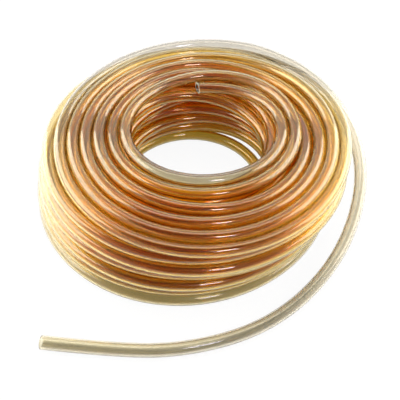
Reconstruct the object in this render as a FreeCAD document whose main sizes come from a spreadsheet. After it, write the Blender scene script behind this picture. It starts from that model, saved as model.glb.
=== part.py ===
"""A coil of clear thick-walled hose with one end led out, for racking and siphoning in home brewing.

One hose: its inner end lies free in the eye of the coil, turns spiral over the top, others climb the
inner and the outer wall, and the outer end runs down to the ground in front. The turns that no side
shows are a plain core. Millimetres, +Z up, ground at Z = 0, origin in the middle of the footprint.
"""

import math
import os

import FreeCAD, Part
from FreeCAD import Placement, Rotation, Vector

doc = FreeCAD.newDocument("HoseCoil")

# Driving dimensions: millimetres unless the note gives another unit.
SIZES = [
    ("hose_diameter", 12.7, "outside diameter of the hose, 1/2 inch"),
    ("hose_bore", 9.525, "inside diameter of the hose, 3/8 inch"),
    ("turn_gap", 1.2, "free space between neighbouring turns"),
    ("eye_diameter", 142.0, "clear opening in the middle of the coil"),
    ("coil_columns", 5.1, "pitches from the inner wall's turns to the outer wall's"),
    ("coil_rows", 5.8, "pitches from the bottom turn to the top turn"),
    ("lean_x", -12.0, "where the foot of the coil stands, seen from its top"),
    ("lean_y", -2.0, "where the foot of the coil stands, seen from its top"),
    ("cut_end_bearing", 92.0, "degrees: direction of the inner cut end from the eye"),
    ("eye_end_turns", 0.34, "turns: from the inner cut end to the wound turns"),
    ("eye_end_spring", 4.0, "how far the inner end springs clear of the inner wall"),
    ("eye_end_drop", 3.0, "how far the inner cut end hangs under the top turns"),
    ("top_turns", 4.3, "turns: the spiral over the top"),
    ("tail_bearing", 60.0, "degrees: direction in which the tail leaves the outer wall"),
    ("tail_lead", 35.0, "straight start of the tail"),
    ("dive_turns", 0.22, "turns: where a strand dives to the hidden turns"),
    ("wall_drop", 1.2, "pitches from the top turns down to the inner wall's first turn"),
    ("crossing_turns", 1.3, "turns: from the inner to the outer wall under the coil"),
    ("corner_turns", 0.3, "turns: shared by a wall and the crossing at each corner"),
    ("top_roll", 45.0, "degrees: lays the top turns' section flat"),
    ("wall_roll", 45.0, "degrees: brings a corner of the wall turns' section down at the foot"),
    ("core_chamfer", 4.0, "at the core's lower edges, clear of the strand that rounds them"),
    ("foot_flat", 1.27, "depth of the flat under the bottom turns"),
    ("core_clearance", 0.3, "between the core and the turns round it"),
    ("wound_sides", 4, "sides of the wound turns' simplified section"),
    ("free_sides", 8, "sides of the free stretches' simplified section"),
    ("core_sides", 36, "sides of the core's simplified rings"),
    ("barb_depth", 20.0, "open bore behind each cut end, as deep as a hose barb"),
]

sheet = doc.addObject("Spreadsheet::Sheet", "Sizes")
for line, (alias, value, note) in enumerate(SIZES, start=1):
    sheet.set("A%d" % line, alias)
    sheet.set("B%d" % line, str(value))
    sheet.set("C%d" % line, note)
    sheet.setAlias("B%d" % line, alias)
doc.recompute()


def size(alias):
    """Value of one driving dimension."""
    return float(sheet.get(alias))


hose_radius = size("hose_diameter") / 2
pitch = size("hose_diameter") + size("turn_gap")
seat = hose_radius + size("core_clearance")
inner_wall_radius = size("eye_diameter") / 2 + hose_radius
bottom_turn_height = hose_radius - size("foot_flat")
top_turn_height = bottom_turn_height + size("coil_rows") * pitch
top_row = size("coil_rows")
outer_column = size("coil_columns")
outer_wall_radius = inner_wall_radius + outer_column * pitch


# The winding: each stretch gives the place of the hose for a count of turns from the inner cut end.

def lean(height):
    """Offset of the coil's axis at a height, nil at the top turns."""
    share = (top_turn_height - height) / (top_turn_height - bottom_turn_height)
    return Vector(size("lean_x") * share, size("lean_y") * share, 0)


def spot(turns, column, row):
    """Point of the centre line, its column and row in pitches from the lowest turn of the inner wall."""
    bearing = math.radians(size("cut_end_bearing") - 360.0 * turns)
    radius = inner_wall_radius + column * pitch
    height = bottom_turn_height + row * pitch
    return lean(height) + Vector(radius * math.cos(bearing), radius * math.sin(bearing), height)


def ease(share):
    """Smooth step from 0 to 1."""
    share = min(max(share, 0.0), 1.0)
    return share * share * (3.0 - 2.0 * share)


top_start = size("eye_end_turns")
top_end = top_start + size("top_turns")


def top_winding(turns):
    """Spiral over the top at a pitch a turn, which dives at its outer end to the hidden turns."""
    since = turns - top_start
    spring = (1.0 - ease(since / top_start)) * size("eye_end_spring") / pitch
    drop = (1.0 - ease(1.1 * turns / top_start)) * size("eye_end_drop") / pitch
    dive = ease(1.0 - (top_end - turns) / size("dive_turns"))
    return spot(turns, since - top_start - spring - 0.25 * dive, top_row - drop - dive)


# Turns of the wall strand: down the inner wall, across under the coil, up the outer wall.
down_turns = top_row - size("wall_drop")
wall_count = size("dive_turns") + down_turns + size("crossing_turns") - 2 * size("corner_turns") + top_row
wall_end = math.ceil(wall_count) + (size("cut_end_bearing") - size("tail_bearing")) / 360.0
wall_start = wall_end - wall_count


def wall_winding(turns):
    """Out of the hidden turns under the top, down the inner wall, under the coil and up the outer wall."""
    since = turns - wall_start - size("dive_turns")
    hidden = ease(-since / size("dive_turns"))
    crossed = (since - down_turns + size("corner_turns")) / size("crossing_turns")
    row = max(down_turns - max(since, 0.0), top_row - (wall_end - turns), 0.0)
    return spot(turns, 1.1 * hidden + outer_column * ease(crossed), row)


# Routes: biarcs through points of the winding, and straight runs joined by tangent arcs.

def arc_from(start, heading, end):
    """Edge that leaves a point in a direction and reaches another point on one arc."""
    chord = end - start
    along = Vector(chord).normalize()
    turn = heading.getAngle(along)
    if turn < 1e-7:
        return Part.LineSegment(start, end).toShape()
    bulge = (heading - along * heading.dot(along)).normalize()
    middle = (start + end) * 0.5 + bulge * (chord.Length / 2 * math.tan(turn / 2))
    return Part.Arc(start, middle, end).toShape()


def biarc(start, heading, end, arrival):
    """Two arcs that meet smoothly between two points with given directions."""
    chord = end - start
    along = chord.dot(heading + arrival)
    spread = 2.0 * (1.0 - heading.dot(arrival))
    if spread > 1e-9:
        reach = (math.sqrt(along * along + spread * chord.dot(chord)) - along) / spread
    else:
        reach = chord.dot(chord) / (2.0 * along)
    joint = (start + end + (heading - arrival) * reach) * 0.5
    middle_heading = (joint - start - heading * reach).normalize()
    return [arc_from(start, heading, joint), arc_from(joint, middle_heading, end)]


def heading_at(winding, turns):
    """Direction of the hose after a count of turns."""
    step = 0.002
    return (winding(turns + step) - winding(turns - step)).normalize()


def biarc_route(points, headings):
    """Edges of a smooth route through points with given directions."""
    edges = []
    for n in range(len(points) - 1):
        edges += biarc(points[n], headings[n], points[n + 1], headings[n + 1])
    return edges


def wound_route(winding, start, end):
    """Centre line of wound turns on biarcs of about a quarter turn, its ends straight."""
    pieces = max(1, round(4 * (end - start)))
    marks = [start + (end - start) * n / pieces for n in range(pieces + 1)]
    points = [winding(mark) for mark in marks]
    headings = [heading_at(winding, mark) for mark in marks]
    lead_in = points[0] - headings[0] * size("hose_diameter")
    run_out = points[-1] + headings[-1] * size("hose_diameter")
    edges = [Part.makeLine(lead_in, points[0])] + biarc_route(points, headings)
    return Part.Wire(edges + [Part.makeLine(points[-1], run_out)])


def bent_route(points):
    """Centre line of a free stretch, each bend as large as its two runs allow, and the bends' radii."""
    edges, radii, here = [], [], points[0]
    for before, corner, after in zip(points, points[1:], points[2:]):
        run_in, run_out = corner - before, after - corner
        reach = 0.45 * min(run_in.Length, run_out.Length)
        radii.append(reach / math.tan(run_in.getAngle(run_out) / 2))
        heading = Vector(run_in).normalize()
        enter = corner - heading * reach
        leave = corner + Vector(run_out).normalize() * reach
        edges += [Part.makeLine(here, enter), arc_from(enter, heading, leave)]
        here = leave
    edges.append(Part.makeLine(here, points[-1]))
    return Part.Wire(edges), radii


top_route = wound_route(top_winding, top_start, top_end)
wall_route = wound_route(wall_winding, wall_start, wall_end)

# The tail leaves the outer wall's top turn square to its end, sinks to the ground and lies there.
# Course of its corners: bearing in degrees, hose diameters out from the outer wall, share of the height.
TAIL_COURSE = [
    (24.1, 1.05, 0.91),
    (5.1, 1.69, 0.73),
    (-13.2, 2.08, 0.51),
    (-33.2, 2.29, 0.22),
    (-54.3, 2.77, 0.03),
    (-74.2, 3.63, 0.0),
    (-94.5, 4.56, 0.0),
    (-111.5, 5.55, 0.0),
    (-125.7, 7.2, 0.0),
]


def tail_corner(bearing, out, share):
    """Corner of the tail's course round the coil."""
    radius = outer_wall_radius + out * size("hose_diameter")
    height = hose_radius + share * (top_turn_height - hose_radius)
    angle = math.radians(bearing)
    return Vector(radius * math.cos(angle), radius * math.sin(angle), height)


tail_exit = wall_route.OrderedVertexes[-1].Point
tail_heading = heading_at(wall_winding, wall_end)
tail_points = [tail_exit, tail_exit + tail_heading * size("tail_lead")]
tail_points += [tail_corner(*corner) for corner in TAIL_COURSE]
tail_route, tail_radii = bent_route(tail_points)

# The inner end lies free in the eye, straight at its cut face, and runs into the top turns.
eye_exit = top_route.OrderedVertexes[0].Point
eye_points = [top_winding(0.0), eye_exit]
eye_headings = [heading_at(top_winding, 0.0), heading_at(top_winding, top_start)]
cut_face = eye_points[0] - eye_headings[0] * size("hose_diameter")
eye_edges = [Part.makeLine(cut_face, eye_points[0])] + biarc_route(eye_points, eye_headings)
inner_end_route = Part.Wire(eye_edges)


# Document objects for stretches of hose.

def feature(name, shape):
    """Document object that holds a shape."""
    made = doc.addObject("Part::Feature", name)
    made.Shape = shape
    return made


def start_of(route):
    """Placement of a section at the start of a route, its Y axis upright."""
    edge = route.Edges[0]
    point, heading = edge.valueAt(edge.FirstParameter), edge.tangentAt(edge.FirstParameter)
    side = Vector(0, 0, 1).cross(heading).normalize()
    return Placement(point, Rotation(side, heading.cross(side), heading, "ZYX"))


def section(name, route, sides, radius, roll=0.0):
    """Many-sided section at the start of a route, its sides and its corner radius bound to the sheet."""
    made = doc.addObject("Part::RegularPolygon", name)
    made.Placement = start_of(route) * Placement(Vector(), Rotation(Vector(0, 0, 1), roll))
    made.setExpression("Polygon", sides)
    made.setExpression("Circumradius", radius)
    return made


def swept(name, section, route):
    """Solid of a section carried along a route."""
    made = doc.addObject("Part::Sweep", name)
    made.Sections = [section]
    made.Spine = (route, [])
    made.Solid = True
    made.Frenet = False
    made.Transition = "Transformed"
    return made


def cut(name, base, tool):
    """Base with a tool taken away."""
    made = doc.addObject("Part::Cut", name)
    made.Base, made.Tool = base, tool
    return made


def free_stretch(name, wire, mouth, heading):
    """Free stretch of hose, its bore open at the cut end."""
    ring = section(name + "_section", wire, "Sizes.free_sides", "Sizes.hose_diameter / 2")
    body = swept(name + "_body", ring, feature(name + "_route", wire))
    bore = doc.addObject("Part::Cylinder", name + "_bore")
    bore.Placement = Placement(mouth, Rotation(Vector(0, 0, 1), heading))
    bore.setExpression("Radius", "Sizes.hose_bore / 2")
    bore.setExpression("Height", "Sizes.barb_depth")
    return cut(name, body, bore)


def wound_stretch(name, wire, roll):
    """Turns of the hose as one unbroken solid with a simplified section."""
    ring = section(name + "_section", wire, "Sizes.wound_sides", "Sizes.hose_diameter / 2", roll)
    return swept(name, ring, feature(name + "_route", wire))


def seat_for(name, edges):
    """Square room round the stretch of a strand that dives into the core, to the strand's end face."""
    wire = Part.Wire(edges)
    ring = section(name + "_section", wire, "4",
                   "(Sizes.hose_diameter / 2 + Sizes.core_clearance) * 2 ^ 0.5", 45.0)
    return swept(name, ring, feature(name + "_route", wire))


top_turns = wound_stretch("top_turns", top_route, size("top_roll"))
whole_wall = wound_stretch("wall_turns_whole", wall_route, size("wall_roll"))
ground = doc.addObject("Part::Box", "ground")
ground.Length = ground.Width = 4 * outer_wall_radius
ground.Height = size("hose_diameter")
ground.Placement.Base = Vector(-2 * outer_wall_radius, -2 * outer_wall_radius, -size("hose_diameter"))
wall_turns = cut("wall_turns", whole_wall, ground)
tail = free_stretch("tail", tail_route, tail_points[-1], tail_points[-2] - tail_points[-1])
inner_end = free_stretch("inner_end", inner_end_route, cut_face, eye_headings[0])


# The hidden turns: a leaning ring between the two walls of turns, under the top ones.

core_low = bottom_turn_height + seat
core_high = top_turn_height - seat
core_edge = core_low + size("core_chamfer")


def drum(name, levels):
    """Solid through many-sided rings on the leaning axis, given as corner radii and heights."""
    drawn = []
    for number, (radius, height) in enumerate(levels):
        ring = doc.addObject("Part::RegularPolygon", "%s_%d" % (name, number))
        ring.Placement.Base = lean(height) + Vector(0, 0, height)
        ring.setExpression("Polygon", "Sizes.core_sides")
        ring.Circumradius = radius
        drawn.append(ring)
    made = doc.addObject("Part::Loft", name)
    made.Sections = drawn
    made.Solid = True
    made.Ruled = True
    return made


outside = outer_wall_radius - seat
inside = (inner_wall_radius + seat) / math.cos(math.pi / size("core_sides"))
bevel = size("core_chamfer")
core_outside = drum("core_outside", [(outside - bevel, core_low), (outside, core_edge), (outside, core_high)])
core_eye = drum("core_eye", [(inside + 2 * bevel, core_low - bevel), (inside, core_edge),
                             (inside, core_high + bevel)])
core = cut("plain_core", core_outside, core_eye)
core = cut("seated_core", core, seat_for("top_seat", top_route.OrderedEdges[-4:]))
core = cut("core", core, seat_for("wall_seat", wall_route.OrderedEdges[:4]))

PARTS = [top_turns, wall_turns, core, tail, inner_end]
ROUTES = [top_route, wall_route, tail_route, inner_end_route]

doc.recompute()


# Tests and measurements.

def samples(wire, step=size("hose_diameter") / 6):
    """Points along a route, with their distance from its start."""
    found, travel = [], 0.0
    for edge in wire.OrderedEdges:
        count = max(2, int(edge.Length / step) + 1)
        for n, point in enumerate(edge.discretize(count)[:-1]):
            found.append((travel + edge.Length * n / (count - 1), point))
        travel += edge.Length
    return found


def least_gap(wires):
    """Least free space between strands, on points of their centre lines."""
    cell = pitch * 1.2
    grid, least = {}, math.inf
    reach = 6 * size("hose_diameter")
    places = [-1, 0, 1]
    for strand, wire in enumerate(wires):
        for travel, point in samples(wire):
            key = tuple(int(math.floor(c / cell)) for c in point)
            for near in ((key[0] + a, key[1] + b, key[2] + c) for a in places for b in places for c in places):
                for other, back, spot_there in grid.get(near, ()):
                    if other == strand and travel - back > reach:
                        least = min(least, point.distanceToPoint(spot_there))
            grid.setdefault(key, []).append((strand, travel, point))
    return least - size("hose_diameter")


for name, wire in (("top_turns", top_route), ("wall_turns", wall_route), ("inner_end", inner_end_route)):
    tightest = min(edge.Curve.Radius for edge in wire.Edges if hasattr(edge.Curve, "Radius"))
    print("%s: %.2f m of hose, least gap to itself %.2f mm, tightest bend %.0f mm"
          % (name, wire.Length / 1000, least_gap([wire]), tightest))
print("tail: %.2f m of hose, bend radii %s mm" % (tail_route.Length / 1000, [round(r) for r in tail_radii]))

for made in doc.Objects:
    if "Invalid" in made.State or "Error" in made.State:
        raise RuntimeError("%s failed: %s" % (made.Name, made.State))

# A many-sided section's area, less the open bore at the cut end, is checked against the volume.
sides = size("free_sides")
section_area = sides / 2 * hose_radius ** 2 * math.sin(2 * math.pi / sides)
bore_volume = math.pi / 4 * size("hose_bore") ** 2 * size("barb_depth")
for made, wire in ((tail, tail_route), (inner_end, inner_end_route)):
    share = made.Shape.Volume / (section_area * wire.Length - bore_volume)
    print("%s: volume is %.4f of section times length less the bore" % (made.Label, share))

# The origin moves to the middle of the footprint.
extents = [point for wire in ROUTES for _, point in samples(wire)]
middle = Vector(
    (min(p.x for p in extents) + max(p.x for p in extents)) / 2,
    (min(p.y for p in extents) + max(p.y for p in extents)) / 2,
    0,
)
mouths = {
    "tail mouth": (tail_points[-1], tail_points[-1] - tail_points[-2]),
    "inner end mouth": (cut_face, -eye_headings[0]),
    "foot": (wall_winding(wall_end - top_row), Vector(0, 0, -1)),
}
print("coil axis at the top turns: X %.2f Y %.2f" % (-middle.x, -middle.y))
for name, (place, outward) in mouths.items():
    place, outward = place - middle, Vector(outward).normalize()
    print("%s: X %.4f Y %.4f Z %.4f, axis %.7f %.7f %.7f" % ((name,) + tuple(place) + tuple(outward)))

os.makedirs("parts", exist_ok=True)
for made in PARTS:
    made.Placement = Placement(made.Placement.Base - middle, made.Placement.Rotation)
    if made.Shape.isNull() or not made.Shape.isValid() or not made.Shape.Solids:
        raise RuntimeError("%s has no valid solid" % made.Label)
    made.Shape.exportStep("parts/%s.step" % made.Label)
    print("%s: %d solid, %.0f mm3" % (made.Label, len(made.Shape.Solids), made.Shape.Volume))
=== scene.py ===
"""Coil of clear brewing hose: the whole winding as one hose, its vinyl, camera and light."""

import logging
import math
from dataclasses import dataclass, field
from enum import Enum

import bpy
import numpy as np
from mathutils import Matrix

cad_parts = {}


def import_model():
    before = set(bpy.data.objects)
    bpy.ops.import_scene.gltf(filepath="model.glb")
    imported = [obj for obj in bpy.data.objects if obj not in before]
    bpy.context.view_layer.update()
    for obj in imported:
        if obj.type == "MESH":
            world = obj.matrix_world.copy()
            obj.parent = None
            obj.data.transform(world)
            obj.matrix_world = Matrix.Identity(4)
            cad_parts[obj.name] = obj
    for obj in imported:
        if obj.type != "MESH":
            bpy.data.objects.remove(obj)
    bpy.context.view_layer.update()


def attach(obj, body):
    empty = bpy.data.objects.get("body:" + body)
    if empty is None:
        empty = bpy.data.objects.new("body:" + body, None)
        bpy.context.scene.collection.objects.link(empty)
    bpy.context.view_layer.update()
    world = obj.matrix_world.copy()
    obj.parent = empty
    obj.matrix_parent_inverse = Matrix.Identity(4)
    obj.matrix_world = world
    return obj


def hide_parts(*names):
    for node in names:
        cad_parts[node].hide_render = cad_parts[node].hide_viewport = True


LOG = logging.getLogger("hose_coil")
MM = 0.001
NODES = ("inner_end", "top_turns", "core", "wall_turns", "tail")


class Wall(Enum):
    """The two skins of the hose."""

    OUTSIDE = "outside"
    BORE = "bore"


def held(value: np.ndarray) -> np.ndarray:
    """Hold values between 0 and 1.

    Args:
        value: the values.

    Returns:
        The held values.
    """
    return np.clip(value, 0.0, 1.0)


def smooth_step(share: np.ndarray) -> np.ndarray:
    """Ease from 0 to 1, flat at both ends.

    Args:
        share: how far each step has come; values outside 0 to 1 are held.

    Returns:
        The eased shares.
    """
    share = held(share)
    return share * share * (3.0 - 2.0 * share)


@dataclass(frozen=True)
class ClearVinyl:
    """Soft clear vinyl: pale straw alone, amber where many turns lie behind each other.

    Amber and grey in it are painted shade. The piece's painted-shade attribute runs from 0 on a
    free stretch to 1 inside the coil.
    """

    name: str = "clear_vinyl"
    # Place on the painted-shade scale and the tint there: the vinyl's own pale straw at 0, then
    # painted shade, grey for the back rim, straw and amber farther into the coil.
    tints: tuple[tuple[float, tuple[float, float, float]], ...] = (
        (0.0, (0.84, 0.795, 0.645)),
        (0.12, (0.72, 0.705, 0.68)),
        (0.45, (0.95, 0.845, 0.54)),
        (1.0, (0.985, 0.735, 0.13)),
    )
    refraction: float = 1.5
    roughness: float = 0.04
    roughness_spread: tuple[float, float] = (0.5, 2.0)
    wear_scale: float = 70.0
    wear_detail: float = 3.0
    coat_weight: float = 0.4
    coat_refraction: float = 1.6
    coat_roughness: float = 0.22
    # Tint of the parts seen at a slant, and how far in from the edge it reaches.
    rim: tuple[float, float, float] = (0.85, 0.77, 0.62)
    rim_blend: float = 0.25

    def build(self) -> bpy.types.Material:
        """Make the material.

        Returns:
            A clear Principled material whose tint carries painted shade by the place in the coil.
        """
        material = bpy.data.materials.new(self.name)
        material.use_nodes = True
        nodes, links = material.node_tree.nodes, material.node_tree.links
        shader = nodes["Principled BSDF"]
        shader.inputs["IOR"].default_value = self.refraction
        shader.inputs["Transmission Weight"].default_value = 1.0
        shader.inputs["Coat Weight"].default_value = self.coat_weight
        shader.inputs["Coat IOR"].default_value = self.coat_refraction
        shader.inputs["Coat Roughness"].default_value = self.coat_roughness

        # Painted shade: the attribute takes the tint to amber inside the coil and greyer on the rims.
        painted_shade = nodes.new("ShaderNodeAttribute")
        painted_shade.attribute_name = "painted_shade"
        tint = nodes.new("ShaderNodeValToRGB")
        stops = tint.color_ramp.elements
        stops[0].position, stops[1].position = self.tints[0][0], self.tints[-1][0]
        for place, _ in self.tints[1:-1]:
            stops.new(place)
        for stop, (_, colour) in zip(stops, self.tints):
            stop.color = (*colour, 1.0)
        links.new(painted_shade.outputs["Fac"], tint.inputs["Fac"])
        facing = nodes.new("ShaderNodeLayerWeight")
        facing.inputs["Blend"].default_value = self.rim_blend
        rim = nodes.new("ShaderNodeMix")
        rim.data_type = "RGBA"
        rim.blend_type = "MULTIPLY"
        rim.inputs["B"].default_value = (*self.rim, 1.0)
        links.new(facing.outputs["Facing"], rim.inputs["Factor"])
        links.new(tint.outputs["Color"], rim.inputs["A"])
        links.new(rim.outputs["Result"], shader.inputs["Base Color"])

        place = nodes.new("ShaderNodeTexCoord")
        wear = nodes.new("ShaderNodeTexNoise")
        wear.inputs["Scale"].default_value = self.wear_scale
        wear.inputs["Detail"].default_value = self.wear_detail
        links.new(place.outputs["Object"], wear.inputs["Vector"])
        haze = nodes.new("ShaderNodeMapRange")
        haze.inputs["To Min"].default_value = self.roughness * self.roughness_spread[0]
        haze.inputs["To Max"].default_value = self.roughness * self.roughness_spread[1]
        links.new(wear.outputs["Fac"], haze.inputs["Value"])
        links.new(haze.outputs["Result"], shader.inputs["Roughness"])
        return material


@dataclass(frozen=True)
class CutVinyl:
    """The knife's matt face on a cut end: straw, and the lit wall of the hose shows through it."""

    name: str = "cut_vinyl"
    colour: tuple[float, float, float] = (0.93, 0.90, 0.76)
    roughness: float = 0.45
    sheer: float = 0.2
    mark_scale: float = 900.0
    mark_shade: float = 0.85

    def build(self) -> bpy.types.Material:
        """Make the material.

        Returns:
            A Principled material with fine knife marks, mixed with what lies behind it.
        """
        material = bpy.data.materials.new(self.name)
        material.use_nodes = True
        nodes, links = material.node_tree.nodes, material.node_tree.links
        shader = nodes["Principled BSDF"]
        shader.inputs["Roughness"].default_value = self.roughness
        place = nodes.new("ShaderNodeTexCoord")
        marks = nodes.new("ShaderNodeTexNoise")
        marks.inputs["Scale"].default_value = self.mark_scale
        links.new(place.outputs["Object"], marks.inputs["Vector"])
        shade = nodes.new("ShaderNodeValToRGB")
        low, high = shade.color_ramp.elements
        low.color = (*(self.mark_shade * part for part in self.colour), 1.0)
        high.color = (*self.colour, 1.0)
        links.new(marks.outputs["Fac"], shade.inputs["Fac"])
        links.new(shade.outputs["Color"], shader.inputs["Base Color"])
        behind = nodes.new("ShaderNodeBsdfTransparent")
        links.new(shade.outputs["Color"], behind.inputs["Color"])
        mix = nodes.new("ShaderNodeMixShader")
        mix.inputs["Fac"].default_value = self.sheer
        links.new(shader.outputs["BSDF"], mix.inputs[1])
        links.new(behind.outputs["BSDF"], mix.inputs[2])
        links.new(mix.outputs["Shader"], nodes["Material Output"].inputs["Surface"])
        return material


@dataclass
class PhotoCamera:
    """Camera fitted to the photograph's rims and tail, in the coil's own coordinates."""

    distance: float = 0.6654
    elevation: float = 0.838
    focal_pixels: float = 590.2
    frame_pixels: float = 400.0
    centre_pixels: tuple[float, float] = (196.8, 186.0)
    sensor: float = 36.0
    axis: tuple[float, float] = (-0.00515, 0.02825)

    def build(self) -> bpy.types.Object:
        """Place the camera on the line of sight through the foot of the coil's axis."""
        data = bpy.data.cameras.new("photo_camera")
        data.sensor_width = self.sensor
        data.lens = self.focal_pixels / self.frame_pixels * self.sensor
        half = self.frame_pixels / 2
        data.shift_x = (half - self.centre_pixels[0]) / self.frame_pixels
        data.shift_y = (self.centre_pixels[1] - half) / self.frame_pixels
        data.clip_start = 0.01
        camera = bpy.data.objects.new("photo_camera", data)
        bpy.context.scene.collection.objects.link(camera)
        camera.location = (
            self.axis[0],
            self.axis[1] - self.distance * math.cos(self.elevation),
            self.distance * math.sin(self.elevation),
        )
        camera.rotation_euler = (math.pi / 2 - self.elevation, 0.0, 0.0)
        bpy.context.scene.camera = camera
        return camera


@dataclass(frozen=True)
class ShadeDepths:
    """Painted shade for the tint, by a strand's place: 0 on a free stretch, 1 inside the coil.

    The first value is that of any strand at the surface. The next ones are added where they hold:
    darker amber shade in the eye's wall and at the middle front, greyer at the near and back rims
    and on the flanks.
    """

    skin: float = 0.45
    eye_wall: float = 0.4
    middle_front: float = 0.32
    near_rim: float = -0.18
    back_rim: float = -0.33
    flank: float = -0.07
    # How steeply the near rim and the back rim begin at the sides, and the middle front, which
    # begins farther to the front.
    near_rise: float = 1.3
    back_rise: float = 1.6
    middle_front_rise: float = 2.2
    middle_front_start: float = 0.8


@dataclass
class Winding:
    """Where the turns of the coil lie, settled against each other like loose hose.

    Lengths are millimetres and bearings run anticlockwise from the right, round an axis that leans
    with the height. Each turn has a place in the cross-section, its column from the eye and its row
    from the ground.
    """

    diameter: float = 12.7
    columns: int = 6
    rows: int = 7
    row_step: float = 13.3
    points_per_turn: int = 24
    cut_bearing: float = 92.4
    tail_bearing: float = 60.0
    lean: float = -16.9
    # The eye's radius on the ground, with its shift to the right and the back, and at the top
    # at the back, right, front and left.
    eye_foot: float = 80.1
    eye_foot_shift: tuple[float, float] = (9.4, -2.6)
    eye_top: tuple[float, ...] = (85, 84, 69, 73)
    outer_foot: float = 151.1
    outer_top: float = 144.7
    # How far, in columns, even rows stand inward and odd rows outward; the share of it that holds
    # all round, the share that comes and goes, and the phase of that in radians.
    stagger: float = 0.22
    stagger_swing: tuple[float, float, float] = (0.3, 0.7, 1.0)
    looseness: float = 2.0
    upright_looseness: float = 0.6
    # Rounds of settling, and the part of the pull that is gone by the last of them.
    rounds: int = 400
    slackening: float = 0.7
    # Pull on any turn, and what a turn that the photograph places gets on top. The first turn is
    # held more firmly than the others, which are held by 1.
    pull: tuple[float, float] = (0.02, 0.2)
    rim_hold: float = 2.0
    # How strongly each round smooths the hose, shortens it and parts turns that overlap.
    evenness: float = 0.35
    tightness: float = 0.05
    parting: float = 0.42
    clearance: float = 0.1
    # Rounds and strength of the last smoothing.
    last_evening: tuple[int, float] = (12, 0.5)
    seed: int = 11
    # Steps from turn to turn: how late after the full turn they start and how long they take, both
    # in turns, and the first one's own start and length.
    step_delay: tuple[float, float] = (-0.06, 0.2)
    step_span: tuple[float, float] = (0.15, 0.3)
    first_step: tuple[float, float] = (0.9, 0.15)
    # The steps that come later round the coil, and by how much of a turn.
    late_steps: tuple[int, int] = (7, 14)
    late: float = 0.45
    # Painted shade for the vinyl's tint, by each strand's place.
    shade_depths: ShadeDepths = field(default_factory=ShadeDepths)
    # Rings seen in the photograph. Place: radius at the back, right, front and left, and height
    # above the row there.
    rings: dict[tuple[int, int], tuple[tuple[float, ...], tuple[float, ...]]] = field(
        default_factory=lambda: {
            (1, 6): ((94, 101, 87, 86), (0, 0, 0, -4)),
            (2, 6): ((106, 116, 105, 100.5), (0, -7, 0, 0)),
            (3, 6): ((121, 127, 122, 112.5), (0, 0, 0, 0)),
            (4, 6): ((134, 138, 138.5, 124), (0, 0, -1, 0)),
            (5, 6): ((145, 149, 148, 136.5), (0, 0, -9, 0)),
            (5, 5): ((147, 152, 148, 149), (0, 0, -2, 6)),
            (5, 4): ((146, 157, 151, 150), (0, 2, 0, 2)),
            (5, 3): ((148, 157, 147, 153), (0, 0, 0, 0)),
            (5, 2): ((149, 149, 152, 150), (0, 0, 0, 0)),
            (5, 1): ((150, 148, 147, 153), (0, 0, 0, 0)),
            (5, 0): ((152, 151, 150.5, 151), (0, 0, 0, 0)),
            (0, 0): ((77.5, 90.5, 83.5, 70.7), (0, 0, 0, 0)),
            (0, 1): ((78, 91, 80, 72), (0, 0, 0, 0)),
            (1, 0): ((90, 101, 95, 84), (0, 0, 0, 0)),
        }
    )
    # Stretches that stand back from the ground turn at the right of the eye and leave a gap behind
    # it: column, row, bearing and half-width in degrees, radius, height.
    stand_firmness: float = 1.4
    stands: tuple[tuple[float, ...], ...] = (
        (1, 0, 26, 50, 115, 6.35),
        (2, 0, 26, 55, 127, 6.35),
        (3, 0, 26, 55, 138, 6.35),
        (4, 0, 26, 55, 149, 6.35),
        (5, 0, 26, 55, 160, 6.35),
        (0, 1, 18, 42, 102.5, 20.5),
        (1, 1, 20, 45, 115, 19.5),
        (2, 1, 20, 45, 126, 19.5),
        (3, 1, 20, 45, 137, 19.5),
        (4, 1, 20, 45, 148, 19.5),
        (5, 1, 20, 45, 158, 19.5),
        (0, 2, 14, 50, 98.5, 33.5),
        (1, 2, 16, 50, 110.5, 33),
        (5, 2, 16, 45, 154, 33),
        (0, 3, 14, 45, 95, 46.5),
        (1, 3, 14, 45, 107, 46.5),
    )
    # The first turn, from the inner cut end round the rim: turns from the cut, radius, height.
    rim: tuple[tuple[float, float, float], ...] = (
        (0.0, 71.6, 81.0), (0.05, 74.0, 82.0), (0.10, 82.0, 83.5), (0.16, 85.0, 85.0),
        (0.25, 88.0, 86.2), (0.30, 86.6, 86.2), (0.35, 83.5, 86.2), (0.40, 77.0, 86.2),
        (0.47, 70.6, 86.2), (0.56, 70.6, 86.2), (0.64, 70.4, 86.2), (0.74, 73.0, 86.2),
        (0.82, 73.2, 86.2), (0.89, 76.8, 86.2), (0.95, 82.0, 86.2), (1.01, 87.0, 86.2),
        (1.09, 97.5, 86.2), (1.17, 99.9, 86.2), (1.24, 100.6, 86.2),
    )

    def places(self) -> np.ndarray:
        """List the place of each turn in the coil's cross-section.

        The hose fills the two inner columns from the top down, two by two, then the next two from
        the bottom up, then the outer two, down and up again.

        Returns:
            One row per turn: column, row.
        """
        top = self.rows - 1
        down = [
            (step % 2 if (top - row) % 2 == 0 else 1 - step % 2, row)
            for row in range(top, -1, -1)
            for step in (0, 1)
        ]
        up = [
            (2 + (step if row % 2 == 0 else 1 - step), row)
            for row in range(self.rows)
            for step in (0, 1)
        ]
        outer = [(4, row) for row in range(top, -1, -1)] + [(5, row) for row in range(self.rows)]
        return np.array(down + up + outer, dtype=float)

    @staticmethod
    def round_course(values: tuple[float, ...], bearing: np.ndarray) -> np.ndarray:
        """Lead a smooth closed course through values at the back, right, front and left.

        Args:
            values: the four values.
            bearing: where to read it, in radians from the right, anticlockwise from above.

        Returns:
            The value at each bearing.
        """
        back, right, front, left = values
        return (
            sum(values) / 4
            + (right - left) / 2 * np.cos(bearing)
            + (back - front) / 2 * np.sin(bearing)
            + (right + left - back - front) / 4 * np.cos(2 * bearing)
        )

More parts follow.
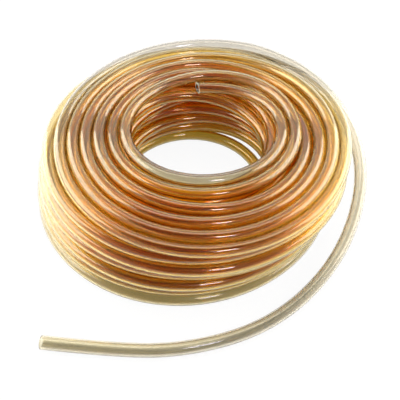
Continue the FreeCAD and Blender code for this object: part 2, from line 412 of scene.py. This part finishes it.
    def wander(self, steps: int, rng: np.random.Generator, size: float) -> np.ndarray:
        """Slow wander of a loose hose.

        Args:
            steps: number of places along the hose.
            rng: source of the wander.
            size: about how far it goes.

        Returns:
            The wander at each place.
        """
        width = self.points_per_turn // 2
        lost_by_smoothing = 1.7
        steady = np.hanning(width) / np.sqrt(width)
        return np.convolve(rng.normal(0.0, size * lost_by_smoothing, steps), steady, "same")

    @staticmethod
    def nearness(column: np.ndarray, row: np.ndarray, place: tuple[float, float]) -> np.ndarray:
        """Tell how near each point is to a place in the cross-section.

        Args:
            column: each point's column.
            row: each point's row.
            place: column and row of the place.

        Returns:
            1 at the place, down to 0 at the next places.
        """
        return held(1 - np.abs(column - place[0])) * held(1 - np.abs(row - place[1]))

    @staticmethod
    def evened(course: np.ndarray) -> np.ndarray:
        """Lead a course smoothly through the two neighbours on each side of every point.

        Args:
            course: values along the hose.

        Returns:
            The values on the smooth course; the two at each end stay.
        """
        even = course.copy()
        even[2:-2] = (4 * (course[1:-3] + course[3:-1]) - (course[:-4] + course[4:])) / 6
        return even

    def laid(self, rng: np.random.Generator) -> tuple[np.ndarray, np.ndarray, np.ndarray, np.ndarray]:
        """Give each point of the hose its bearing and its place in the cross-section.

        Args:
            rng: source of the uneven steps from turn to turn.

        Returns:
            Turns since the inner cut, bearing in radians, column and row.
        """
        places = self.places()
        count = len(places)
        end = count + (self.cut_bearing - self.tail_bearing) / 360.0
        turns = np.arange(0.0, end, 1.0 / self.points_per_turn)
        bearing = np.radians(self.cut_bearing - 360.0 * turns)
        starts = np.arange(1, count) + rng.uniform(*self.step_delay, count - 1)
        spans = rng.uniform(*self.step_span, count - 1)
        starts[0], spans[0] = self.first_step
        starts[slice(*self.late_steps)] += self.late
        stepped = smooth_step((turns[:, None] - starts) / spans)
        column, row = (places[0] + stepped @ np.diff(places, axis=0)).T
        return turns, bearing, column, row

    def aims(
        self, turns: np.ndarray, bearing: np.ndarray, column: np.ndarray, row: np.ndarray
    ) -> tuple[np.ndarray, np.ndarray, np.ndarray]:
        """Give each point the radius and height that it is drawn to.

        Args:
            turns: turns since the inner cut.
            bearing: bearings in radians.
            column: columns in the cross-section.
            row: rows in the cross-section.

        Returns:
            Radius, height, and how firmly the photograph holds the point there.
        """
        height = row / (self.rows - 1)
        rightward, backward = self.eye_foot_shift
        eye_foot = self.eye_foot + rightward * np.cos(bearing) + backward * np.sin(bearing)
        eye = (1 - height) * eye_foot + height * self.round_course(self.eye_top, bearing)
        outside = (1 - height) * self.outer_foot + height * self.outer_top
        steady, swing, phase = self.stagger_swing
        mid_row = smooth_step(1 - np.abs(row - (self.rows - 1) / 2) / (self.rows / 2))
        shift = self.stagger * np.cos(math.pi * row) * mid_row
        shift *= steady + swing * np.sin(bearing / 2 + phase) ** 2
        aim_r = eye + (outside - eye) * (column - shift) / (self.columns - 1)
        aim_z = self.diameter / 2 + row * self.row_step

        hold = np.zeros(len(turns))
        ring_r = np.zeros(len(turns))
        for place, (radii, rises) in self.rings.items():
            near = self.nearness(column, row, place)
            ring_r += near * self.round_course(radii, bearing)
            aim_z = aim_z + near * self.round_course(rises, bearing)
            hold += near
        aim_r = ring_r + (1 - hold) * aim_r
        for stand_column, stand_row, middle, width, out, up in self.stands:
            near = self.nearness(column, row, (stand_column, stand_row))
            off = np.abs((np.degrees(bearing) - middle + 180) % 360 - 180)
            near *= smooth_step(self.stand_firmness * (1 - off / width))
            aim_r += near * (out - aim_r)
            aim_z += near * (up - aim_z)
            hold = np.maximum(hold, near)

        rim = np.array(self.rim)
        on_rim = turns <= rim[-1, 0]
        aim_r[on_rim] = np.interp(turns[on_rim], rim[:, 0], rim[:, 1])
        aim_z[on_rim] = np.interp(turns[on_rim], rim[:, 0], rim[:, 2])
        hold[on_rim] = self.rim_hold
        return aim_r, aim_z, hold

    def relax(
        self,
        radius: np.ndarray,
        level: np.ndarray,
        aim_r: np.ndarray,
        aim_z: np.ndarray,
        hold: np.ndarray,
    ) -> tuple[np.ndarray, np.ndarray]:
        """Even the hose, draw it to its places and part turns that overlap, round after round.

        All points of one bearing lie in one upright plane through the axis, where the turns are
        circles.

        Args:
            radius: radius at each point, to start from.
            level: height at each point, to start from.
            aim_r: radius that each point is drawn to.
            aim_z: height that it is drawn to.
            hold: how firmly the photograph holds it there.

        Returns:
            Radius and height at each point.
        """
        steps = len(radius)
        pull = self.pull[0] + self.pull[1] * hold
        full = math.ceil(steps / self.points_per_turn)
        far_away = 1.0e4
        missing = np.full(full * self.points_per_turn - steps, far_away)
        own = np.arange(full)
        for done in range(self.rounds):
            keen = 1.0 - self.slackening * done / self.rounds
            for course in (radius, level):
                middle = course.copy()
                middle[1:-1] = (course[:-2] + course[2:]) / 2
                smoothing = self.evenness * (self.evened(course) - course)
                course += smoothing + self.tightness * (middle - course)
            radius += pull * (aim_r - radius) * keen
            level += pull * (aim_z - level) * keen
            for _ in range(2):
                grid_r = np.concatenate([radius, missing]).reshape(full, -1)
                grid_z = np.concatenate([level, missing]).reshape(full, -1)
                gap_r = grid_r[:, None] - grid_r[None]
                gap_z = grid_z[:, None] - grid_z[None]
                reach = np.hypot(gap_r, gap_z) + 1.0e-9
                overlap = np.clip(self.diameter + self.clearance - reach, 0.0, None)
                overlap[own, own] = 0.0
                radius += self.parting * (overlap * gap_r / reach).sum(axis=1).ravel()[:steps]
                level += self.parting * (overlap * gap_z / reach).sum(axis=1).ravel()[:steps]
                level = np.maximum(level, self.diameter / 2)
        last_rounds, strength = self.last_evening
        for _ in range(last_rounds):
            for course in (radius, level):
                course += strength * (self.evened(course) - course)
        return radius, np.maximum(level, self.diameter / 2)

    def shade_depth(self, bearing: np.ndarray, column: np.ndarray, row: np.ndarray) -> np.ndarray:
        """Give each point its painted shade for the tint, by where it lies in the coil.

        Args:
            bearing: bearings in radians.
            column: columns in the cross-section.
            row: rows in the cross-section.

        Returns:
            Painted shade from 0 to 1.
        """
        shade_depths = self.shade_depths
        backward = np.sin(bearing)
        innermost = held(1.0 - column)
        outermost = held(column - (self.columns - 2))
        top = held(row - self.rows + 2.0)
        foot = outermost * held(1.0 - row)
        middle_front = smooth_step(-shade_depths.middle_front_rise * backward - shade_depths.middle_front_start)
        near_rim = innermost * top * smooth_step(-shade_depths.near_rise * backward)
        back_rim = outermost * top * smooth_step(shade_depths.back_rise * backward)
        # Painted shade: darker amber in the eye's wall and at the middle front, greyer at the near
        # rim, back rim and flanks; strands inside the coil go to 1.
        skin = held(
            shade_depths.skin
            + shade_depths.eye_wall * innermost * held(self.rows - 1 - row)
            + shade_depths.middle_front * middle_front * (1.0 - foot) * (1.0 - near_rim)
            + shade_depths.near_rim * near_rim
            + shade_depths.back_rim * back_rim
            + shade_depths.flank * outermost * (1.0 - middle_front) * (1.0 - back_rim)
        )
        edge = np.minimum(np.minimum(column, self.columns - 1 - column), self.rows - 1 - row)
        return skin + (1.0 - skin) * held(edge)

    def settle(self) -> tuple[np.ndarray, np.ndarray]:
        """Lay the turns at their places and let them push each other apart.

        Returns:
            Points in millimetres round the axis, and each one's painted shade for the tint, 0 to 1.
        """
        rng = np.random.default_rng(self.seed)
        turns, bearing, column, row = self.laid(rng)
        aim_r, aim_z, hold = self.aims(turns, bearing, column, row)
        radius = aim_r + self.wander(len(turns), rng, self.looseness)
        level = aim_z + self.wander(len(turns), rng, self.looseness * self.upright_looseness)
        radius, level = self.relax(radius, level, aim_r, aim_z, hold)
        share = (level - self.diameter / 2) / (self.row_step * (self.rows - 1))
        # The spline of order 3 runs inside its control points, so these lie a little farther out.
        control_r = radius / (0.75 + 0.25 * math.cos(2 * math.pi / self.points_per_turn))
        across = self.lean * (1 - share) + control_r * np.cos(bearing)
        points = np.stack([across, control_r * np.sin(bearing), level], axis=1)
        LOG.info("winding: %d points on %.1f turns", len(turns), turns[-1])
        return points, self.shade_depth(bearing, column, row)


@dataclass
class HoseCoil:
    """The whole hose, from the inner cut end through every turn to the tail's cut end.

    Lengths are metres in the row frame.
    """

    diameter: float = 0.0127
    bore: float = 0.009525
    length: float = 30.5
    axis: tuple[float, float] = (-0.00515, 0.02825)
    # Distance between the mesh's rings in the coil, on the tail and at the edge of a cut end.
    rings_apart: float = 0.0108
    free_rings_apart: float = 0.005
    lip: float = 0.0004
    sides: int = 16
    # How much shorter the inner end is cut than the winding starts, and the slope of that cut.
    inner_cut: float = 0.007
    cut_slant: float = 0.36
    # Painted shade of the tail for the tint, from the coil to the cut end, where none is left.
    tail_shade: tuple[float, float] = (0.1, 0.0)
    # The tail's route, from the end of the last turn to its cut end on the ground.
    tail_points: tuple[tuple[float, float, float], ...] = (
        (0.11031, 0.13284, 0.08641),
        (0.14234, 0.09422, 0.07856),
        (0.16388, 0.04333, 0.06428),
        (0.16489, -0.01164, 0.04682),
        (0.14322, -0.06885, 0.02381),
        (0.10188, -0.11871, 0.00873),
        (0.04776, -0.15635, 0.00635),
        (-0.02133, -0.17487, 0.00635),
        (-0.08532, -0.17346, 0.00635),
        (-0.14502, -0.16639, 0.00635),
    )
    winding: Winding = field(default_factory=Winding)
    vinyl: ClearVinyl = field(default_factory=ClearVinyl)
    cut: CutVinyl = field(default_factory=CutVinyl)

    def route(self) -> tuple[np.ndarray, np.ndarray]:
        """Lead one NURBS spline through the whole hose and read it back.

        Returns:
            Points along the hose's centre line in the row frame, and each one's painted shade.
        """
        points, painted_shade = self.winding.settle()
        points *= MM
        points[:, 0] += self.axis[0]
        points[:, 1] += self.axis[1]
        tail = np.array(self.tail_points)
        control = np.vstack([points, tail])
        shade_depth = np.concatenate([painted_shade, np.linspace(*self.tail_shade, len(tail))])
        curve = bpy.data.curves.new("hose_line", "CURVE")
        curve.dimensions = "3D"
        spline = curve.splines.new("NURBS")
        spline.points.add(len(control) - 1)
        spline.points.foreach_set("co", np.column_stack([control, np.ones(len(control))]).ravel())
        spline.order_u = 3
        spline.use_endpoint_u = True
        spline.resolution_u = 8
        holder = bpy.data.objects.new("hose_line", curve)
        read = bpy.data.meshes.new_from_object(holder)
        line = np.empty(len(read.vertices) * 3)
        read.vertices.foreach_get("co", line)
        line = line.reshape(-1, 3)
        bpy.data.meshes.remove(read)
        bpy.data.objects.remove(holder)
        bpy.data.curves.remove(curve)
        return self.evenly(line, control, shade_depth)

    def evenly(
        self, line: np.ndarray, control: np.ndarray, shade_depth: np.ndarray
    ) -> tuple[np.ndarray, np.ndarray]:
        """Space the read points evenly, closer together on the free tail.

        Args:
            line: points read from the spline.
            control: the spline's control points.
            shade_depth: painted shade for the tint at each control point.

        Returns:
            Evenly spaced points along the line, and the painted shade at each.
        """
        reach = np.concatenate([[0.0], np.cumsum(np.linalg.norm(np.diff(line, axis=0), axis=1))])
        whole = reach[-1]
        tail = control[-len(self.tail_points):]
        tail_length = np.linalg.norm(np.diff(tail, axis=0), axis=1).sum()
        knee = whole - tail_length
        start, lip = self.inner_cut, self.lip
        coiled = np.linspace(start, knee, int(knee / self.rings_apart) + 1)
        freed = np.linspace(knee, whole, int(tail_length / self.free_rings_apart) + 1)[1:]
        marks = np.concatenate([[start, start + lip], coiled[1:], freed[:-1], [whole - lip, whole]])
        spaced = np.stack([np.interp(marks, reach, line[:, axis]) for axis in range(3)], axis=1)
        share = np.linspace(0.0, 1.0, len(shade_depth))
        at = np.interp(marks, reach, np.linspace(0.0, 1.0, len(line)))
        return spaced, np.interp(at, share, shade_depth)

    def skin(self, line: np.ndarray, wall: Wall) -> np.ndarray:
        """Carry a circle along the centre line, square to it, its first point level with the line.

        The inner end is cut a little aslant, so that its face is turned to the front.

        Args:
            line: points along the centre line.
            wall: which skin of the hose.

        Returns:
            Grid of points, one ring per point of the line.
        """
        heading = np.gradient(line, axis=0)
        heading /= np.linalg.norm(heading, axis=1)[:, None]
        side = np.cross(heading, np.array([0.0, 0.0, 1.0]))
        side /= np.linalg.norm(side, axis=1)[:, None]
        upright = np.cross(side, heading)
        radius = (self.diameter if wall is Wall.OUTSIDE else self.bore) / 2
        angles = np.arange(self.sides) * 2 * math.pi / self.sides
        cosines, sines = np.cos(angles)[None, :, None], np.sin(angles)[None, :, None]
        around = cosines * side[:, None, :] + sines * upright[:, None, :]
        skin = line[:, None, :] + radius * around
        aside = self.cut_slant * (self.diameter / 2 + radius * around[0, :, 1])
        skin[0] -= aside[:, None] * heading[0]
        return skin

    @staticmethod
    def faces(rings: int, sides: int) -> np.ndarray:
        """List the faces of outside and bore, and last the two ring-shaped cut faces.

        Args:
            rings: number of rings along each skin.
            sides: points on each ring.

        Returns:
            Four point numbers for each face; the bore's points follow the outside's.
        """
        ring, side = np.meshgrid(np.arange(rings - 1), np.arange(sides), indexing="ij")
        here, after = ring * sides, (side + 1) % sides
        grid = [here + side, here + after, here + sides + after, here + sides + side]
        grid = np.stack(grid, axis=-1).reshape(-1, 4)
        bore = rings * sides
        end = (rings - 1) * sides
        around = np.arange(sides)
        onward = (around + 1) % sides
        first = np.stack([around, around + bore, onward + bore, onward], axis=1)
        final = np.stack([around, onward, onward + bore, around + bore], axis=1) + end
        return np.concatenate([grid[:, ::-1], grid + bore, first[:, ::-1], final[:, ::-1]])

    def build(self) -> bpy.types.Object:
        """Build the hose as one closed mesh: outside, bore and the two ring-shaped cut faces."""
        line, shade_depth = self.route()
        outside, bore = self.skin(line, Wall.OUTSIDE), self.skin(line, Wall.BORE)
        rings, sides = outside.shape[:2]
        points = np.concatenate([outside.reshape(-1, 3), bore.reshape(-1, 3)])
        faces = self.faces(rings, sides)
        mesh = bpy.data.meshes.new("hose")
        mesh.from_pydata(points.tolist(), [], faces.tolist())
        mesh.update()
        smooth = np.ones(len(faces), dtype=bool)
        smooth[-2 * sides:] = False
        mesh.polygons.foreach_set("use_smooth", smooth)
        # Painted shade for the vinyl's tint, on every point of both skins.
        painted_shade = mesh.attributes.new("painted_shade", "FLOAT", "POINT")
        painted_shade.data.foreach_set("value", np.tile(np.repeat(shade_depth, sides), 2))
        mesh.materials.append(self.vinyl.build())
        mesh.materials.append(self.cut.build())
        slots = np.zeros(len(faces), dtype=np.int32)
        slots[-2 * sides:] = len(mesh.materials) - 1
        mesh.polygons.foreach_set("material_index", slots)
        hose = bpy.data.objects.new("hose", mesh)
        bpy.context.scene.collection.objects.link(hose)
        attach(hose, "root")
        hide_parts(*NODES)
        run = np.linalg.norm(np.diff(line, axis=0), axis=1).sum()
        LOG.info("hose: %.2f m long, %d rings, %d faces", run, rings, len(faces))
        return hose


@dataclass(frozen=True)
class SoftLamp:
    """A lamp that faces the coil: its name, place, width and height in metres, watts and colour."""

    name: str
    place: tuple[float, float, float]
    size: tuple[float, float]
    power: float
    colour: tuple[float, float, float] = (1.0, 0.95, 0.82)
    target: tuple[float, float, float] = (0.0, 0.03, 0.04)

    def build(self) -> None:
        """Hang the lamp."""
        data = bpy.data.lights.new(self.name, "AREA")
        data.shape = "RECTANGLE"
        data.size, data.size_y = self.size
        data.energy = self.power
        data.color = self.colour
        lamp = bpy.data.objects.new(self.name, data)
        bpy.context.scene.collection.objects.link(lamp)
        lamp.location = self.place
        away = np.array(self.place) - np.array(self.target)
        tilt = math.atan2(math.hypot(away[0], away[1]), away[2])
        lamp.rotation_euler = (tilt, 0.0, math.atan2(away[1], away[0]) + math.pi / 2)


@dataclass
class Studio:
    """White ground, white surroundings and soft lamps at a plain level."""

    ground_size: float = 6.0
    ground_shade: float = 0.9
    ground_roughness: float = 0.9
    # Light of the surroundings on the object.
    world_strength: float = 0.75
    # The dimmer room that gloss and hose show: where its middle lies, the cosines at which its edge
    # begins and ends, its light, and how much narrower than high it is.
    room_direction: tuple[float, float, float] = (0.0, -0.5, 0.87)
    room_edge: tuple[float, float] = (0.05, 0.65)
    room_level: float = 0.04
    room_narrow: float = 2.6
    # How much of the ground's shadow its own light fills, and the share of that by way of the hose.
    shadow_fill: float = 0.92
    ground_through: float = 0.26
    lamps: tuple[SoftLamp, ...] = (
        SoftLamp("overhead", (0.0, 0.35, 1.2), (1.1, 0.5), 5.0),
        SoftLamp("left_bank", (-0.95, 0.2, 0.6), (1.3, 0.8), 14.0),
        SoftLamp("right_bank", (0.95, 0.2, 0.6), (1.3, 0.8), 14.0),
        SoftLamp("window", (0.33, -1.0, 1.15), (0.3, 0.24), 3.5, (0.82, 0.82, 1.0)),
    )

    def ground(self) -> bpy.types.Object:
        """Make the pale ground, which shows white to the camera and keeps a faint shadow."""
        half = self.ground_size / 2
        mesh = bpy.data.meshes.new("ground")
        corners = [(-half, -half, 0.0), (half, -half, 0.0), (half, half, 0.0), (-half, half, 0.0)]
        mesh.from_pydata(corners, [], [(0, 1, 2, 3)])
        mesh.materials.append(self.ground_paint())
        ground = bpy.data.objects.new("ground", mesh)
        bpy.context.scene.collection.objects.link(ground)
        return ground

    def ground_paint(self) -> bpy.types.Material:
        """White paint whose own light fills most of its shadow for rays that look at it."""
        material = bpy.data.materials.new("ground_white")
        material.use_nodes = True
        nodes, links = material.node_tree.nodes, material.node_tree.links
        shader = nodes["Principled BSDF"]
        shader.inputs["Base Color"].default_value = (*(self.ground_shade,) * 3, 1.0)
        shader.inputs["Roughness"].default_value = self.ground_roughness
        glow = nodes.new("ShaderNodeEmission")
        glow.inputs["Strength"].default_value = 1.0
        mix = nodes.new("ShaderNodeMixShader")
        share = nodes.new("ShaderNodeMath")
        share.operation = "MULTIPLY"
        share.inputs[1].default_value = self.shadow_fill
        links.new(self.looking(nodes, links, self.ground_through), share.inputs[0])
        links.new(share.outputs[0], mix.inputs["Fac"])
        links.new(shader.outputs["BSDF"], mix.inputs[1])
        links.new(glow.outputs["Emission"], mix.inputs[2])
        links.new(mix.outputs["Shader"], nodes["Material Output"].inputs["Surface"])
        return material

    @staticmethod
    def looking(
        nodes: bpy.types.Nodes, links: bpy.types.NodeLinks, through: float
    ) -> bpy.types.NodeSocket:
        """Tell rays that look at a thing, straight or by way of the hose, from rays that light it.

        Args:
            nodes: nodes of the material or world.
            links: its links.
            through: value for rays that come by gloss or through the hose.

        Returns:
            Socket that is 1 for the camera's own rays, "through" for those by way of the hose and 0
            for others.
        """
        path = nodes.new("ShaderNodeLightPath")
        bent = nodes.new("ShaderNodeMath")
        bent.operation = "MAXIMUM"
        links.new(path.outputs["Is Glossy Ray"], bent.inputs[0])
        links.new(path.outputs["Is Transmission Ray"], bent.inputs[1])
        part = nodes.new("ShaderNodeMath")
        part.operation = "MULTIPLY"
        part.inputs[1].default_value = through
        links.new(bent.outputs[0], part.inputs[0])
        every = nodes.new("ShaderNodeMath")
        every.operation = "MAXIMUM"
        links.new(path.outputs["Is Camera Ray"], every.inputs[0])
        links.new(part.outputs[0], every.inputs[1])
        return every.outputs[0]

    def surroundings(self) -> bpy.types.World:
        """White sweep behind and below, and a dimmer room above and in front of the coil.

        Rays that light the object get a plain even level. Rays that look at the surroundings,
        straight, in gloss or through the hose, see the sweep and the room.
        """
        world = bpy.data.worlds.new("studio_white")
        bpy.context.scene.world = world
        world.use_nodes = True
        nodes, links = world.node_tree.nodes, world.node_tree.links
        backdrop = nodes["Background"]
        backdrop.inputs["Color"].default_value = (1.0, 1.0, 1.0, 1.0)
        place = nodes.new("ShaderNodeTexCoord")
        toward_room = nodes.new("ShaderNodeVectorMath")
        toward_room.operation = "DOT_PRODUCT"
        toward_room.inputs[1].default_value = self.room_direction
        narrow = nodes.new("ShaderNodeVectorMath")
        narrow.operation = "MULTIPLY"
        narrow.inputs[1].default_value = (self.room_narrow, 1.0, 1.0)
        links.new(place.outputs["Generated"], narrow.inputs[0])
        whole = nodes.new("ShaderNodeVectorMath")
        whole.operation = "NORMALIZE"
        links.new(narrow.outputs["Vector"], whole.inputs[0])
        links.new(whole.outputs["Vector"], toward_room.inputs[0])
        room = nodes.new("ShaderNodeMapRange")
        room.interpolation_type = "SMOOTHSTEP"
        room.inputs["From Min"].default_value = self.room_edge[0]
        room.inputs["From Max"].default_value = self.room_edge[1]
        room.inputs["To Min"].default_value = 1.0
        room.inputs["To Max"].default_value = self.room_level
        links.new(toward_room.outputs["Value"], room.inputs["Value"])
        path = nodes.new("ShaderNodeLightPath")
        straight = nodes.new("ShaderNodeMath")
        straight.operation = "MAXIMUM"
        links.new(room.outputs["Result"], straight.inputs[0])
        links.new(path.outputs["Is Camera Ray"], straight.inputs[1])
        level = nodes.new("ShaderNodeMix")
        level.data_type = "FLOAT"
        level.inputs["A"].default_value = self.world_strength
        links.new(self.looking(nodes, links, 1.0), level.inputs["Factor"])
        links.new(straight.outputs[0], level.inputs["B"])
        links.new(level.outputs["Result"], backdrop.inputs["Strength"])
        return world

    def build(self) -> None:
        """Make ground, surroundings and lamps."""
        self.ground()
        self.surroundings()
        for lamp in self.lamps:
            lamp.build()


def main() -> None:
    """Build camera, hose and studio in order."""
    logging.basicConfig(level=logging.INFO, format="%(message)s")
    scene = bpy.context.scene
    scene.view_settings.view_transform = "Standard"
    scene.cycles.max_bounces = 32
    scene.cycles.transmission_bounces = 32
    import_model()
    PhotoCamera().build()
    HoseCoil().build()
    Studio().build()


if __name__ == "__main__":
    main()
